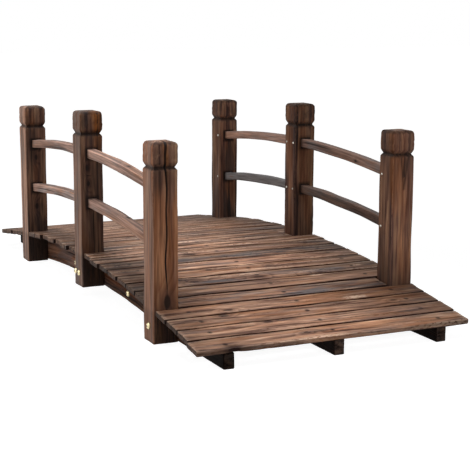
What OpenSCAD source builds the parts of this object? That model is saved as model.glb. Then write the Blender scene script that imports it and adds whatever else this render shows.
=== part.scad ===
// Arched garden footbridge of fir: a plank deck on three bowed stringers, with three capped posts
// and two bowed rails on each side. The deck is an arc between the end posts, and a straight ramp
// leaves the arc at each end. X runs along the bridge, Y across it and Z up, and the origin is on
// the ground under the crown. The ramp at +X is called near, and the side at -Y is left.

/* [Deck planks] */
// Width of a plank
plank_w = 57; // [45:1:70]
// Gap between a plank and the next plank or post along the arch
plank_gap = 3.75; // [3:0.25:8]
// Thickness of a plank
plank_t = 12; // [9:0.5:18]
// Chamfer along a plank's edges
plank_edge = 1.5; // [0.5:0.5:3]
// Length of a full plank, which is the width of the bridge
deck_w = 660; // [500:10:900]
// Gap between the end of a short plank and the post beside it
plank_end_gap = 1; // [0.5:0.5:4]
// Planks in each bay, between two posts of a side
bay_planks = 7; // [5:1:8]
// Planks on each ramp, outside the end posts
ramp_planks = 4; // [2:1:5]

/* [Arch] */
// Radius of the arch along the top of the planks
arch_r = 3800; // [3200:25:5500]
// Height of the stringers' plumb ends
end_h = 34; // [24:1:45]

/* [Stringers] */
// Thickness of a stringer
stringer_t = 25; // [18:1:35]
// Depth of a stringer under the crown
stringer_h = 76; // [60:1:90]
// Radius of a stringer's soffit
soffit_r = 4700; // [3600:50:6000]
// How far a stringer's end stays back from the end of the deck
stringer_inset = 5; // [1:1:20]
// Butt joint between the two halves of a stringer
butt_gap = 0.5; // [0.3:0.1:2]

/* [Splice boards] */
// Length of the board that joins the two halves of a stringer
splice_l = 460; // [300:10:600]
// Thickness of a splice board
splice_t = 20; // [12:1:30]
// Margin of a splice board to the stringer's upper and lower edges
splice_margin = 8; // [2:1:15]

/* [Posts] */
// Width of a square post
post_w = 59; // [45:1:75]
// Length of a post
post_h = 443; // [410:1:600]
// Chamfer along a post's upright edges
post_edge = 3; // [1:0.5:6]
// Chamfer round a post's top
cap_edge = 7; // [3:1:12]
// Distance from a post's top to the bottom of the groove under its cap
groove_drop = 55; // [30:1:64]
// Height of the groove's upper slope
groove_rise = 10; // [4:0.5:14]
// Height of the groove's lower slope
groove_fall = 6.5; // [3:0.5:12]
// Depth of the groove
groove_d = 5.5; // [2:0.5:10]

/* [Rails] */
// Thickness of a rail across the bridge
rail_w = 22; // [16:1:32]
// Height of a rail
rail_h = 22; // [16:1:34]
// Height of the upper rail's middle over the deck
upper_rail_z = 251; // [200:1:262]
// Height of the lower rail's middle over the deck
lower_rail_z = 127; // [60:1:180]
// Wood left between the two mortises of a middle post
mortise_web = 13; // [6:1:25]
// Clearance round a rail's end in its mortise
mortise_gap = 0.3; // [0.1:0.1:0.8]

/* [Hidden] */
// Facets of the wide arcs
$fn = 720;
// The deck is laid out along the arc of the planks' top
pitch = plank_w + plank_gap;
slot = post_w + plank_gap;
end_post_s = slot + bay_planks * pitch;
ramp_s = end_post_s + slot / 2;
half_planks = bay_planks + 1 + ramp_planks;
plank_count = 2 * half_planks + 1;
deck_s = station(plank_count - 1) + plank_w / 2;
ramp_a = turn(ramp_s);
deck_end = arch_r * sin(ramp_a) + (deck_s - ramp_s) * cos(ramp_a);

// The deck, the stringers' tops and the rails share one centre, set by the height of the stringers' ends
stringer_r = arch_r - plank_t;
stringer_end = deck_end - stringer_inset;
centre_z = end_h - (stringer_r - stringer_end * sin(ramp_a)) / cos(ramp_a);
soffit_z = centre_z + stringer_r - stringer_h;
ramp_x = stringer_r * sin(ramp_a);
ramp_z = centre_z + stringer_r * cos(ramp_a);
stringer_y = deck_w / 2 - post_w - stringer_t / 2;

post_x = arch_r * sin(turn(end_post_s));
post_y = (deck_w - post_w) / 2;
short_plank_l = deck_w - 2 * (post_w + plank_end_gap);
splice_top = centre_z + arc_rise(stringer_r, splice_l / 2) - splice_margin;
splice_bottom = soffit_z + splice_margin;

SIDES = [["left", -1], ["right", 1]];
LINES = [["left", -1], ["middle", 0], ["right", 1]];
PLACES = [["far", -1], ["middle", 0], ["near", 1]];
BAYS = [["far", -1], ["near", 1]];
LEVELS = [["upper", upper_rail_z], ["lower", lower_rail_z]];

function plank_name(i) = str("deck_plank_", i < 9 ? "0" : "", i + 1);
function post_name(s, p) = str(s[0], "_", p[0], "_post");
function rail_name(s, b, v) = str(s[0], "_", b[0], "_", v[0], "_rail");
function stringer_name(l) = str(l[0], "_stringer");
function splice_name(l) = str(l[0], "_splice_board");

// Angle of the arch, in degrees from the crown, at a distance along the planks' top
function turn(s) = s / arch_r * 180 / PI;

// Height of an arc of radius r over its own centre, at a distance x from the crown
function arc_rise(r, x) = sqrt(r * r - x * x);

// Distance of plank i from the crown, along the planks' top
function station(i) = sign(i - half_planks) * half_station(abs(i - half_planks));
function half_station(k) =
    k == 0 ? 0
    : k <= bay_planks ? slot / 2 + (k - 0.5) * pitch
    : k == bay_planks + 1 ? end_post_s
    : ramp_s + (k - bay_planks - 1.5) * pitch;

// The planks in line with a pair of posts are cut short to lie between them
function is_short(i) = let (k = abs(i - half_planks)) k == 0 || k == bay_planks + 1;

module chamfered_rect(w, h, c) {
    polygon([
        [-w / 2 + c, -h / 2], [w / 2 - c, -h / 2], [w / 2, -h / 2 + c], [w / 2, h / 2 - c],
        [w / 2 - c, h / 2], [-w / 2 + c, h / 2], [-w / 2, h / 2 - c], [-w / 2, -h / 2 + c]
    ]);
}

// Stands a profile drawn in X and Z across the bridge, centred on y
module across(y, width) {
    translate([0, y, 0]) rotate([90, 0, 0]) linear_extrude(width, center = true) children();
}

// Puts its children on the top of the planks, at a distance along it from the crown
module on_deck(s) {
    bowed = sign(s) * min(abs(s), ramp_s);
    translate([0, 0, centre_z]) rotate([0, turn(bowed), 0]) translate([s - bowed, 0, arch_r]) children();
}

module deck_plank(i) {
    w = is_short(i) ? post_w : plank_w;
    l = is_short(i) ? short_plank_l : deck_w;
    color("#9a7b6a")
        on_deck(station(i))
        translate([0, 0, -plank_t / 2])
        across(0, l) chamfered_rect(w, plank_t, plank_edge);
}

// One half of a stringer: bowed up to the end post and straight under the ramp, over a bowed soffit.
// It is cut flat on the ground and plumb at its ends
module half_stringer_profile() {
    difference() {
        union() {
            intersection() {
                translate([0, centre_z]) circle(stringer_r);
                translate([butt_gap / 2, 0])
                    square([ramp_x - butt_gap / 2, centre_z + stringer_r + plank_t]);
            }
            polygon([[ramp_x, 0], [stringer_end, 0], [stringer_end, end_h], [ramp_x, ramp_z]]);
        }
        translate([0, soffit_z - soffit_r]) circle(soffit_r);
    }
}

module stringer(line) {
    color("#3a2a24")
    across(line * stringer_y, stringer_t) {
        half_stringer_profile();
        mirror([1, 0]) half_stringer_profile();
    }
}

// A straight board across the butt joint, on the inner face of an outer stringer
module splice_board(line) {
    inward = line > 0 ? -1 : line < 0 ? 1 : -1;
    color("#8a6a50")
    across(line * stringer_y + inward * (stringer_t + splice_t) / 2, splice_t)
        translate([-splice_l / 2, splice_bottom])
        square([splice_l, splice_top - splice_bottom]);
}

// One bay's rail, bowed like the deck. Grown by its clearance it cuts the mortises of the posts
module rail_bar(side, bay, over_deck, grow) {
    r = arch_r + over_deck;
    inner = mortise_web / 2 + mortise_gap - grow;
    outer = post_x - mortise_web / 2 - mortise_gap + grow;
    across(side * post_y, rail_w + 2 * grow)
        mirror([bay < 0 ? 1 : 0, 0])
        intersection() {
            translate([0, centre_z]) difference() {
                circle(r + rail_h / 2 + grow);
                circle(r - rail_h / 2 - grow);
            }
            translate([inner, 0]) square([outer - inner, centre_z + r + rail_h]);
        }
}

module rail(side, bay, over_deck) {
    color("#7d5f52") rail_bar(side, bay, over_deck, 0);
}

// Face of a post: straight sides, a groove under the cap and a chamfered top
module post_face() {
    half = post_w / 2;
    groove_z = post_h - groove_drop;
    right = [
        [half, 0], [half, groove_z - groove_fall], [half - groove_d, groove_z],
        [half, groove_z + groove_rise], [half, post_h - cap_edge], [half - cap_edge, post_h]
    ];
    left = [for (i = [len(right) - 1:-1:0]) [-right[i][0], right[i][1]]];
    polygon(concat(right, left));
}

module post_blank() {
    intersection() {
        across(0, post_w) post_face();
        rotate([0, 0, 90]) across(0, post_w) post_face();
        linear_extrude(post_h) chamfered_rect(post_w, post_w, post_edge);
    }
}

// End posts stand on the ground, and middle posts end flush with the stringers' soffit
module post(side, place) {
    color("#5a3b2e")
    difference() {
        translate([place * post_x, side * post_y, place == 0 ? soffit_z : 0]) post_blank();
        for (b = BAYS, v = LEVELS)
            if (place != -b[1]) rail_bar(side, b[1], v[1], mortise_gap);
    }
}

for (i = [0:plank_count - 1])
    deck_plank(i);
for (s = SIDES, p = PLACES)
    post(s[1], p[1]);
for (s = SIDES, b = BAYS, v = LEVELS)
    rail(s[1], b[1], v[1]);
for (l = LINES)
    stringer(l[1]);
for (l = LINES)
    splice_board(l[1]);
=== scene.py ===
"""Dresses an arched garden footbridge of scorched fir and stages it in a white studio.

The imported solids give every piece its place. Each one is replaced by a timber with softened
arrises, brushed and uneven faces, knots and drying checks. Bolts, screws and nails are added.
"""
import logging
import math
from dataclasses import dataclass, field
from enum import Enum, IntEnum
from functools import partial
from typing import Any, Callable, Iterable

import bpy
import numpy as np
from mathutils import Matrix, Vector


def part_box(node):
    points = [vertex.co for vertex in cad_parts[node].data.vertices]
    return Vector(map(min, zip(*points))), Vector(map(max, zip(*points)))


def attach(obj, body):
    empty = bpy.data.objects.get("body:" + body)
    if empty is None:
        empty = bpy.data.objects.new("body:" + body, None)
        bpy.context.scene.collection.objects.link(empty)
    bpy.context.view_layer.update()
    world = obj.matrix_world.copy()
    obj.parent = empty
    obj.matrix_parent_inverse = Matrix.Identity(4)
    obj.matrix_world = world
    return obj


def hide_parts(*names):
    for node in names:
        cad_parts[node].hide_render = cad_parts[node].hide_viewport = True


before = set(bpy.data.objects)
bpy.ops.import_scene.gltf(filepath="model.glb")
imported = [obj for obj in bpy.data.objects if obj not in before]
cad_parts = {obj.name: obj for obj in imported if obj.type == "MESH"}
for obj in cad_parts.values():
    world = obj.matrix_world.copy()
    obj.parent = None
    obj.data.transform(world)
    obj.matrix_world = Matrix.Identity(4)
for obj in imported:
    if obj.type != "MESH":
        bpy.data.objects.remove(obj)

log = logging.getLogger("footbridge")

MM = 0.001
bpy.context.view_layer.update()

MATH = "ShaderNodeMath"
VECTOR = "ShaderNodeVectorMath"
RANGE = "ShaderNodeMapRange"
SPLIT = "ShaderNodeSeparateXYZ"
JOIN = "ShaderNodeCombineXYZ"
NOISE = "ShaderNodeTexNoise"
ATTRIBUTE = "ShaderNodeAttribute"

Array = np.ndarray
Colour = tuple[float, float, float, float]
Tones = tuple[float, float, float]
Finish = bpy.types.Material
Spots = list[tuple[Vector, Vector]]
Place = Callable[[Array], Array]
WearAndShading = Callable[[Array, Array], Array]
ToneChange = Callable[[Array, Array, Array], None]


def linear(code: str) -> Colour:
    """Turns an sRGB hex colour into a linear one.

    Args:
        code: Colour as #rrggbb.

    Returns:
        Red, green, blue and an alpha of 1.
    """
    parts = [int(code[i:i + 2], 16) / 255 for i in (1, 3, 5)]
    curve = [c / 12.92 if c <= 0.04045 else ((c + 0.055) / 1.055) ** 2.4 for c in parts]
    return (curve[0], curve[1], curve[2], 1.0)


def rise(value: Array, start: float, reach: float) -> Array:
    """Gives shares that rise from 0 at start to 1 at reach beyond it, or before it if reach is negative."""
    return np.clip((value - start) / reach, 0, 1)


def fade(distance: Array, reach: float, power: int = 1) -> Array:
    """Gives shares that die away from 1: power 1 has a long tail, 2 is a round spot and 4 a flat one."""
    return np.exp(-(distance / reach) ** power)


def add_node(tree: Any, kind: str, inputs: Any = (), out: Any = 0, stops: Any = (), **settings: Any) -> Any:
    """Adds a node to a shader or geometry tree.

    Args:
        tree: Node tree that takes the node.
        kind: Blender's name for the type of node.
        inputs: Values of its sockets in order, or by name or number. An output socket is linked.
        out: Name or number of the output that is given back.
        stops: Positions and colours of a colour ramp.
        settings: Properties of the node itself.

    Returns:
        The node's output, or None where it has none.
    """
    node = tree.nodes.new(kind)
    for name, value in settings.items():
        setattr(node, name, value)
    for key, value in inputs.items() if isinstance(inputs, dict) else enumerate(inputs):
        if isinstance(value, bpy.types.NodeSocket):
            tree.links.new(value, node.inputs[key])
        else:
            node.inputs[key].default_value = value
    for index, (position, colour) in enumerate(stops):
        elements = node.color_ramp.elements
        stop = elements[index] if index < 2 else elements.new(position)
        stop.position = position
        stop.color = colour
    return node.outputs[out] if node.outputs else None


def new_material(name: str) -> tuple[Any, Any, Any]:
    """Makes a material with one principled shader.

    Args:
        name: Common name of the material.

    Returns:
        The material, its node tree and its shader node.
    """
    material = bpy.data.materials.new(name)
    material.use_nodes = True
    tree = material.node_tree
    return material, tree, tree.nodes["Principled BSDF"]


@dataclass(frozen=True)
class Palette:
    """Colours of one stock of scorched fir, as sRGB hex values from burnt to bare."""

    char: str
    dark: str
    mid: str
    light: str
    pale: str
    warm: str
    ash: str


@dataclass(frozen=True)
class ScorchedFir:
    """Fir passed through a flame and brushed along the grain.

    The flame blackens the hard late wood and leaves the soft early wood tan, so the eye sees dark
    lines on warm brown, with orange streaks, a grey bloom where the char is deep and black knots.
    """

    name: str
    palette: Palette
    ring_mm: float = 6.0
    warp_mm: float = 11.0
    ring_share: float = 0.22
    band_mm: float = 17.0
    band_along_mm: float = 420.0
    band_share: float = 0.7
    fine_mm: float = 5.0
    fine_share: float = 0.3
    patch_mm: float = 22.0
    glow_mm: float = 17.0
    relief_mm: float = 0.5
    gloss: float = 0.3
    end_grain: bool = False

    # Real rings are 1 to 3 mm apart and real fibres far finer. Both are drawn coarser, so that they show.
    FIBRE_MM = (2.8, 70)
    WARP_MM = (42, 380)
    SPECK_MM = (4.0, 10)
    CHAR_MM = 8
    PATCH_ALONG_MM = 130
    STAIN_PER_M = (120, 125, 0)
    LATE_WOOD = ((0.0, 0.3), (1.0, 0.3), (0.12, 0.0), (0.45, 0.2), (0.78, 0.85), (0.92, 1.0))
    KNOT_FALL = -0.16
    KNOT_BULGE = 2.2

    def _figure(self, tree: Any, grain: Any, across_mm: float, along_mm: float, detail: float) -> Any:
        """Adds a pattern that is drawn out along the grain.

        Args:
            tree: Node tree of the material.
            grain: Socket with the place in the timber, in metres.
            across_mm: Size of the pattern across the grain.
            along_mm: Size of the pattern along the grain.
            detail: Finer octaves of the pattern.

        Returns:
            The pattern's socket, which is about 0.5 on average.
        """
        reach = math.inf if self.end_grain else along_mm
        stretch = (1 / (reach * MM), 1 / (across_mm * MM), 1 / (across_mm * MM))
        scaled = add_node(tree, VECTOR, (grain, stretch), operation="MULTIPLY")
        inputs = {"Vector": scaled, "Scale": 1.0, "Detail": detail, "Roughness": 0.55}
        return add_node(tree, NOISE, inputs, "Fac")

    def _rings(self, tree: Any, grain: Any, knot_reach: Any) -> Any:
        """Adds the growth rings round the pith, pushed aside by knots.

        Args:
            tree: Node tree of the material.
            grain: Socket with the place in the timber, measured from its pith.
            knot_reach: Socket with the distance to the nearest knot, in knot radii.

        Returns:
            Socket that is 0 in early wood and 1 in late wood.
        """
        flat = add_node(tree, VECTOR, (grain, (0, 1, 1)), operation="MULTIPLY")
        radius = add_node(tree, VECTOR, (flat,), "Value", operation="LENGTH")
        warp = self._figure(tree, grain, *self.WARP_MM, 2.0)
        path = add_node(tree, MATH, (warp, self.warp_mm * MM, radius), operation="MULTIPLY_ADD")
        squared = add_node(tree, MATH, (knot_reach, knot_reach), operation="MULTIPLY")
        fall = add_node(tree, MATH, (squared, self.KNOT_FALL), operation="MULTIPLY")
        fall = add_node(tree, MATH, (fall,), operation="EXPONENT")
        bulge = self.KNOT_BULGE * self.ring_mm * MM
        path = add_node(tree, MATH, (fall, bulge, path), operation="MULTIPLY_ADD")
        rings = add_node(tree, MATH, (path, self.ring_mm * MM), operation="DIVIDE")
        phase = add_node(tree, MATH, (rings,), operation="FRACT")
        levels = [(at, (share, share, share, 1.0)) for at, share in self.LATE_WOOD]
        return add_node(tree, "ShaderNodeValToRGB", (phase,), stops=levels)

    def _tint(self, tree: Any, grain: Any, rings: Any) -> Any:
        """Adds the colour of bands, lines and rings, from burnt to bare.

        Args:
            tree: Node tree of the material.
            grain: Socket with the place in the timber.
            rings: Socket with the growth rings.

        Returns:
            The colour's socket.
        """
        band = self._figure(tree, grain, self.band_mm, self.band_along_mm, 1.5)
        fine = self._figure(tree, grain, self.fine_mm, 0.4 * self.band_along_mm, 3.0)
        shares = ((band, 2 * self.band_share), (fine, 2 * self.fine_share), (rings, -self.ring_share))
        level = 0.5 - self.band_share - self.fine_share + 0.4 * self.ring_share
        for pattern, share in shares:
            level = add_node(tree, MATH, (pattern, share, level), operation="MULTIPLY_ADD")
        tints = self.palette
        stops = ((0.02, tints.char), (0.98, tints.pale), (0.30, tints.dark), (0.50, tints.mid),
                 (0.70, tints.light))
        colours = [(at, linear(code)) for at, code in stops]
        return add_node(tree, "ShaderNodeValToRGB", (level,), stops=colours)

    def _layers(self, tree: Any, grain: Any, knot_reach: Any, fibre: Any) -> list[tuple[Any, str]]:
        """Adds the shares of what lies over the clear wood.

        Args:
            tree: Node tree of the material.
            grain: Socket with the place in the timber.
            knot_reach: Socket with the distance to the nearest knot, in knot radii.
            fibre: Socket with the fibres.

        Returns:
            Socket with the share of each layer and its colour, from the lowest layer up.
        """
        board = add_node(tree, ATTRIBUTE, out="Vector", attribute_name="board")
        scorch, warmth = add_node(tree, SPLIT, (board,)).node.outputs[1:]
        nail = add_node(tree, ATTRIBUTE, out="Vector", attribute_name="nail")
        worn = add_node(tree, ATTRIBUTE, out="Fac", attribute_name="worn")
        glow = self._figure(tree, grain, self.glow_mm, 0.9 * self.band_along_mm, 1.0)
        patch = self._figure(tree, grain, self.patch_mm, self.PATCH_ALONG_MM, 2.0)
        smoke = add_node(tree, MATH, (scorch, 0.15, patch), operation="MULTIPLY_ADD")
        darkened = self._figure(tree, grain, self.CHAR_MM, self.band_along_mm, 2.0)
        deep = add_node(tree, MATH, (scorch, 0.3), operation="ADD")
        smear = add_node(tree, VECTOR, (nail, self.STAIN_PER_M), operation="MULTIPLY")
        stain = add_node(tree, VECTOR, (smear,), "Value", operation="LENGTH")
        specks = self._figure(tree, grain, *self.SPECK_MM, 1.0)
        tints = self.palette
        steps = ((glow, 0.46, 0.62, warmth, tints.warm), (smoke, 0.56, 0.70, scorch, tints.ash),
                 (darkened, 0.42, 0.30, deep, tints.char), (knot_reach, 2.6, 0.9, 0.55, tints.dark),
                 (knot_reach, 1.1, 0.6, 0.9, tints.char), (stain, 1.0, 0.35, 0.92, tints.char),
                 (specks, 0.38, 0.5, worn, tints.pale))
        layers = []
        for pattern, none, full, share, code in steps:
            step = add_node(tree, RANGE, (pattern, none, full), interpolation_type="SMOOTHSTEP")
            layers.append((add_node(tree, MATH, (step, share), operation="MULTIPLY"), code))
        # Where the attribute is positive, pale specks of bare wood show; where it is negative, char is laid
        # over the wood. Both carry painted shade and light as well as real wear.
        streaks = add_node(tree, MATH, (fibre, -1.6, -0.25), operation="MULTIPLY_ADD")
        layers.append((add_node(tree, MATH, (worn, streaks), operation="MULTIPLY"), tints.char))
        return layers

    def material(self) -> Finish:
        """Builds the material.

        Returns:
            The material, which reads the timber's own attributes.
        """
        material, tree, shader = new_material(self.name)
        grain = add_node(tree, ATTRIBUTE, out="Vector", attribute_name="grain")
        knot = add_node(tree, ATTRIBUTE, out="Vector", attribute_name="knot")
        drawn = add_node(tree, VECTOR, (knot, (0.5, 1, 1)), operation="MULTIPLY")
        knot_reach = add_node(tree, VECTOR, (drawn,), "Value", operation="LENGTH")
        fibre = self._figure(tree, grain, *self.FIBRE_MM, 3.0)
        rings = self._rings(tree, grain, knot_reach)
        colour = self._tint(tree, grain, rings)
        for share, code in self._layers(tree, grain, knot_reach, fibre):
            inputs = {0: share, 6: colour, 7: linear(code)}
            colour = add_node(tree, "ShaderNodeMix", inputs, 2, data_type="RGBA")

        board = add_node(tree, ATTRIBUTE, out="Vector", attribute_name="board")
        tone = add_node(tree, SPLIT, (board,))
        shade = add_node(tree, MATH, (fibre, 1.5, 0.25), operation="MULTIPLY_ADD")
        shade = add_node(tree, MATH, (shade, tone), operation="MULTIPLY")
        colour = add_node(tree, VECTOR, {0: colour, "Scale": shade}, operation="SCALE")
        rough = add_node(tree, RANGE, (fibre, 0.3, 0.7, 0.75, 0.55))
        height = add_node(tree, MATH, (rings, -0.5, fibre), operation="MULTIPLY_ADD")
        inputs = {"Height": height, "Strength": 0.6, "Distance": self.relief_mm * MM}
        bump = add_node(tree, "ShaderNodeBump", inputs)
        for label, socket in (("Base Color", colour), ("Roughness", rough), ("Normal", bump)):
            tree.links.new(socket, shader.inputs[label])
        shader.inputs["Specular IOR Level"].default_value = self.gloss
        return material


@dataclass(frozen=True)
class PlatedMetal:
    """Plated or blackened metal. The eye sees a soft highlight that breaks up in fine specks."""

    name: str
    colour: str
    roughness: float
    speck_mm: float = 3.0

    def material(self) -> Finish:
        """Builds the material.

        Returns:
            A metal whose gloss varies in specks.
        """
        material, tree, shader = new_material(self.name)
        shader.inputs["Metallic"].default_value = 1.0
        shader.inputs["Base Color"].default_value = linear(self.colour)
        place = add_node(tree, "ShaderNodeTexCoord", out="Object")
        # Real specks of plating are well under 1 mm. They are drawn coarser, so that they show.
        inputs = {"Vector": place, "Scale": 1 / (self.speck_mm * MM), "Detail": 2.0}
        specks = add_node(tree, NOISE, inputs, "Fac")
        rough = add_node(tree, RANGE, (specks, 0.3, 0.7, self.roughness * 0.7, self.roughness * 1.4))
        tree.links.new(rough, shader.inputs["Roughness"])
        return material


DECK_COLOURS = Palette(char="#2a1814", dark="#5f4236", mid="#8f6d5a", light="#ab846b", pale="#dfbfa7",
                       warm="#ab7149", ash="#686161")
POST_COLOURS = Palette(char="#1e1512", dark="#5a3f37", mid="#84604f", light="#a27b62", pale="#c09676",
                       warm="#a36434", ash="#3e3635")
RAIL_COLOURS = Palette(char="#21150f", dark="#5c463c", mid="#8a6e62", light="#a48475", pale="#bd9c8a",
                       warm="#a0704f", ash="#767170")
BEAM_COLOURS = Palette(char="#140d0b", dark="#3c281f", mid="#6b4a3a", light="#8a624c", pale="#a87f68",
                       warm="#84492a", ash="#5a5150")
BLEACHED_COLOURS = Palette(char="#2c1d17", dark="#6d4f40", mid="#987563", light="#ad8872", pale="#c2a08b",
                           warm="#9c6648", ash="#7d7069")
END_COLOURS = Palette(char="#120d0c", dark="#2b211d", mid="#42342e", light="#58483f", pale="#6d5a4e",
                      warm="#4b372c", ash="#3e3735")
PLANK_END_COLOURS = Palette(char="#1e1410", dark="#463429", mid="#6a5043", light="#846756", pale="#9c7d6b",
                            warm="#74513a", ash="#5f5651")


class Shade(Enum):
    """How a length of fir came out of the flame: tone, scorch and warmth."""

    ROSY = (1.00, 0.30, 0.30)
    TAN = (1.02, 0.17, 0.36)
    SMOKY = (0.92, 0.52, 0.20)
    SLATE = (0.73, 1.90, 0.00)


class Seed(IntEnum):
    """First seed of each source of chance, so that no two timbers share their draws."""

    PLANK = 0
    POST = 200
    RAIL = 300
    BEAM = 400
    SPLICE = 480
    PLANK_LOOK = 1000
    POST_LOOK = 2000
    RAIL_LOOK = 3000
    BEAM_LOOK = 4000
    PLANK_EDGE = 5000
    PLANK_FIGURE = 6000


class Slot(IntEnum):
    """Material slots of a timber: its sides, its sawn ends and a side that differs."""

    SIDES = 0
    ENDS = 1
    OTHER = 2


class Side(IntEnum):
    """Sides in order round a section. Planks and rails have +w on top, posts +v in front and -w at left."""

    PLUS_V = 0
    PLUS_W = 1
    MINUS_V = 2
    MINUS_W = 3


class Mark(IntEnum):
    """What a column of a timber's skin is: plain, part of a drying check, or an arris."""

    FACE = 0
    LIP = 1
    BED = 2
    OTHER_LIP = 3
    ARRIS = 4
    BESIDE = 5
    OTHER_BESIDE = 6


CHECK_COLUMNS = ((Mark.BESIDE, -1, 1), (Mark.LIP, -1, 0), (Mark.BED, 0, 0), (Mark.OTHER_LIP, 1, 0),
                 (Mark.OTHER_BESIDE, 1, 1))


@dataclass(frozen=True)
class Knot:
    """A knot on a timber's surface: its place in the timber's frame and its radius."""

    at: tuple[float, float, float]
    radius: float


@dataclass(frozen=True)
class DryingCheck:
    """A crack that opens as the wood dries, down the timber's +v face."""

    across: float
    start: float
    end: float
    width: float
    depth: float


@dataclass(frozen=True)
class Dent:
    """A spot where wood is knocked off: its place in the timber's frame, its radius and its depth."""

    at: tuple[float, float, float]
    radius: float
    depth: float


class Ripple:
    """Smooth seeded unevenness, made of a few waves of random length and direction."""

    TERMS = 6

    def __init__(self, rng: np.random.Generator, wave_u: float, wave_s: float, height: float) -> None:
        """Draws the waves.

        Args:
            rng: Seeded source of the waves.
            wave_u: Mean wavelength along the timber.
            wave_s: Mean wavelength round its section.
            height: Mean height of the sum.
        """
        self.along = rng.uniform(0.5, 1.6, self.TERMS) * rng.choice((-1, 1), self.TERMS) / wave_u
        self.round = rng.uniform(0.5, 1.6, self.TERMS) / wave_s
        self.phase = rng.uniform(0, 2 * math.pi, self.TERMS)
        self.height = height * math.sqrt(2 / self.TERMS)

    def __call__(self, u: Array, s: Array) -> Array:
        """Gives the heights at places u along a timber and s round its section."""
        angle = 2 * math.pi * (np.multiply.outer(u, self.along) + np.multiply.outer(s, self.round))
        return self.height * np.sin(angle + self.phase).sum(axis=-1)


@dataclass
class MeshData:
    """Vertices, faces and attributes of a mesh that is still being put together."""

    points: Array
    faces: list[tuple[int, ...]]
    slots: list[int]
    grain: Array
    board: Array
    knot: Array
    nail: Array
    worn: Array


def nearest(offsets: Iterable[Array], best: Array) -> Array:
    """Keeps the shortest of several offsets at each point.

    Args:
        offsets: Offsets of all points from each thing.
        best: Offsets where there is nothing near, changed in place.

    Returns:
        The shortest offsets.
    """
    for offset in offsets:
        nearer = (offset ** 2).sum(axis=1) < (best ** 2).sum(axis=1)
        best[nearer] = offset[nearer]
    return best


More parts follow.
